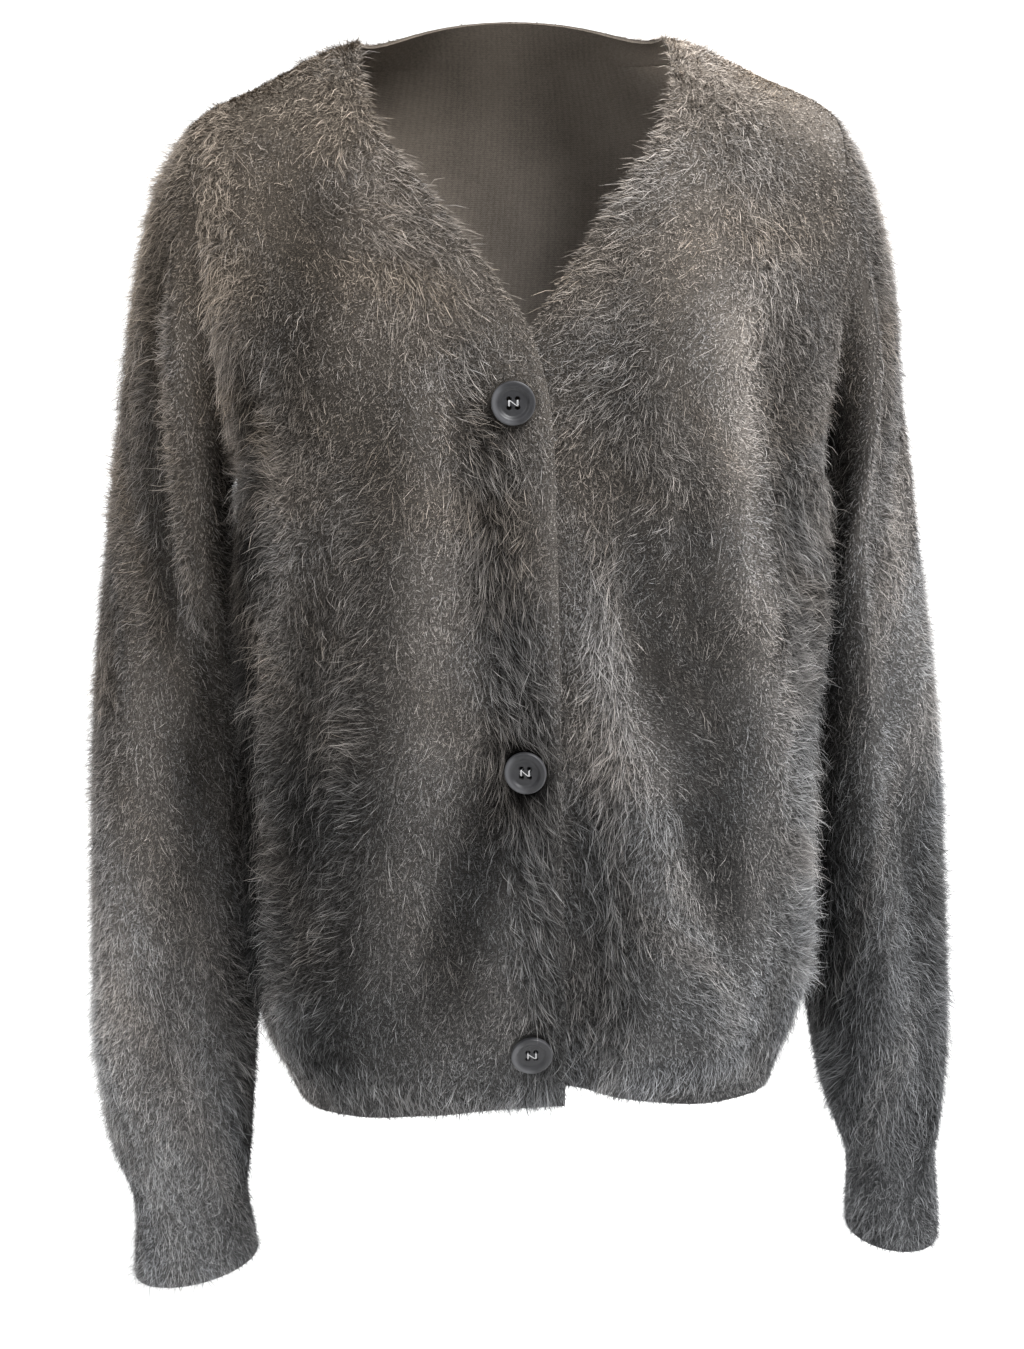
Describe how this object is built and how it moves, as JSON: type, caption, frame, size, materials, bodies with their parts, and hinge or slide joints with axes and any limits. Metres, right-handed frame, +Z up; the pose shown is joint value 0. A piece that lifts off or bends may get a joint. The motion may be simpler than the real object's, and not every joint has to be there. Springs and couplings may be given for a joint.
{
  "type": "button cardigan",
  "caption": "Fluffy long-pile knitted cardigan with a V neck, drop shoulders, long gathered sleeves and round buttons, in the hollow shape it has when worn",
  "frame": {"origin": "between the wearer's shoulders, in the middle of the neck opening, at the height of the top of the shoulders", "axes": "+Z up, -Y towards the front with the buttons, +X towards the wearer's left; the sleeves hang down at the sides"},
  "size_m": [0.5507, 0.2791, 0.7772],
  "materials": {
    "pile_knit": "long soft taupe-grey pile on a fine stocking-stitch knit, matt",
    "slate_plastic": "dark slate-grey satin plastic with a dished face and a rounded rim"
  },
  "bodies": {
    "root": {"back_lower": "pile_knit", "back_upper": "pile_knit", "band_left": "pile_knit", "band_neck": "pile_knit", "band_right": "pile_knit", "button_1": "slate_plastic", "button_2": "slate_plastic", "button_3": "slate_plastic", "cuff_left": "pile_knit", "cuff_right": "pile_knit", "front_left": "pile_knit", "front_right": "pile_knit", "hem_back": "pile_knit", "hem_front_left": "pile_knit", "hem_front_right": "pile_knit", "sleeve_left_lower": "pile_knit", "sleeve_left_middle": "pile_knit", "sleeve_left_upper": "pile_knit", "sleeve_right_lower": "pile_knit", "sleeve_right_middle": "pile_knit", "sleeve_right_upper": "pile_knit"}
  },
  "joints": []
}
